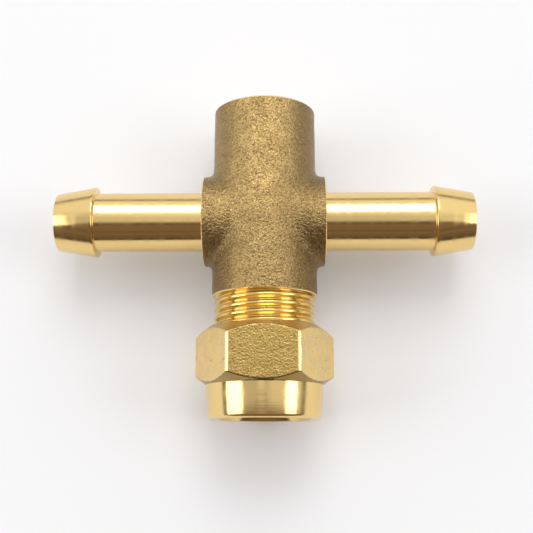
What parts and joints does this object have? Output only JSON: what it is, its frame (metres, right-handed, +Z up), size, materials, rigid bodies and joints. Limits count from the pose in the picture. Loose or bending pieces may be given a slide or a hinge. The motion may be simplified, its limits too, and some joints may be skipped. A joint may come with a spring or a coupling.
{
  "type": "hose barb coupling",
  "caption": "Cast brass tee with a barbed hose tail on each side, a plain pipe socket, and a threaded spigot with a hexagon compression nut and ring.",
  "frame": {"origin": "centre of the whole part's outline seen from above, on the surface that the nut's flat rests on; the axes of barrel and tails cross at Y 6.85 mm, Z 10 mm", "axes": "+X along the hose tails, +Y along the barrel towards the plain pipe socket, +Z up as it lies on the nut's flat"},
  "size_m": [0.0698, 0.0524, 0.02],
  "materials": {
    "tee_brass": "sand-cast skin on the barrel and bosses, turned bright on the tails and spigot",
    "nut_brass": "forged flats and a turned collar",
    "ring_brass": "turned"
  },
  "bodies": {
    "tee": {"tee_body": "tee_brass"},
    "ring": {"compression_ring": "ring_brass"},
    "nut": {"compression_nut": "nut_brass"}
  },
  "joints": [
    {"name": "ring_slide", "type": "slide", "parent": "tee", "child": "ring", "axis": [0, -1, 0], "range_m": [0, 0.00535]},
    {"name": "nut_turn", "type": "hinge", "parent": "ring", "child": "nut", "pos_m": [0, -0.0159, 0.01], "axis": [0, -1, 0], "range_deg": [0, 1440]}
  ],
  "couplings": [
    {"joint": "ring_slide", "follows": "nut_turn", "m_per_rad": 0.00021279}
  ]
}
